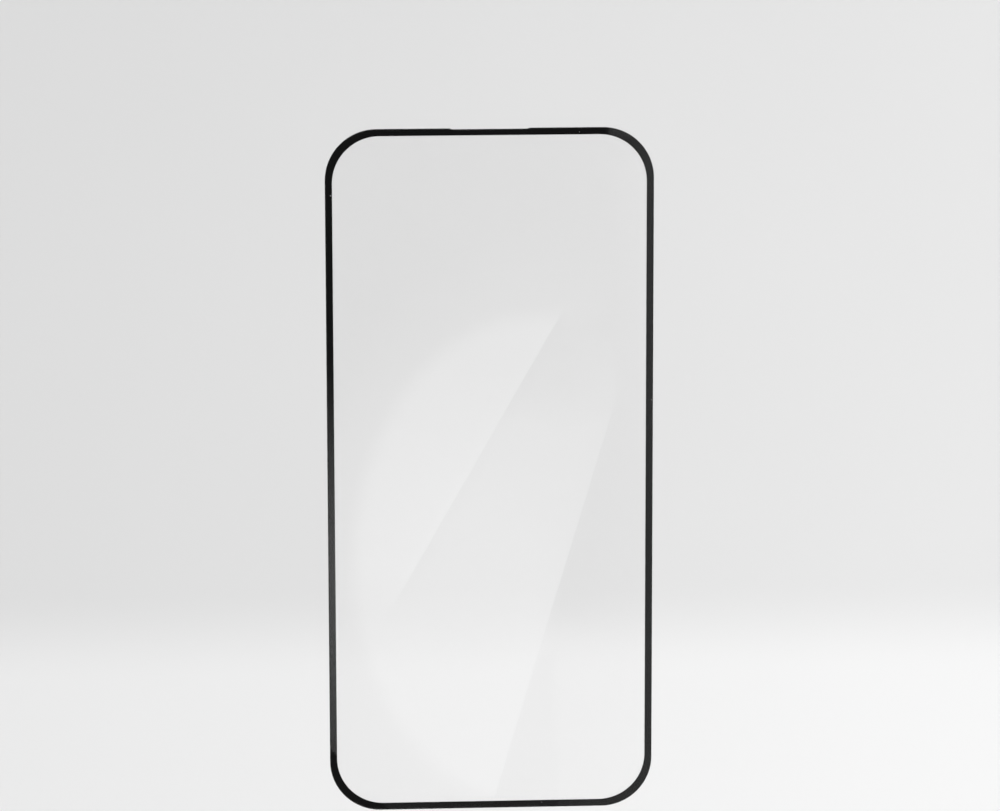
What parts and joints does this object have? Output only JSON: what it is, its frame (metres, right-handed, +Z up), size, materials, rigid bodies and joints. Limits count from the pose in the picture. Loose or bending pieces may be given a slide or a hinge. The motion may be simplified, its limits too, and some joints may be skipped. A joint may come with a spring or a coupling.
{
  "type": "phone screen protector",
  "caption": "Flat clear sheet of tempered glass with round corners, a thin black printed border and a shallow earpiece notch, which covers and protects a phone's screen.",
  "frame": {"origin": "centre of the printed rear face, on the surface that the sheet lies on", "axes": "+X across the width, +Y along the length towards the earpiece end, +Z up out of the front face"},
  "size_m": [0.0694, 0.1474, 0.0004],
  "materials": {
    "tempered_glass": "clear, polished",
    "border_ink": "opaque black screen-printed ink, seen through the glass"
  },
  "bodies": {
    "root": {"glass_pane": "tempered_glass", "black_border": "border_ink"}
  },
  "joints": []
}
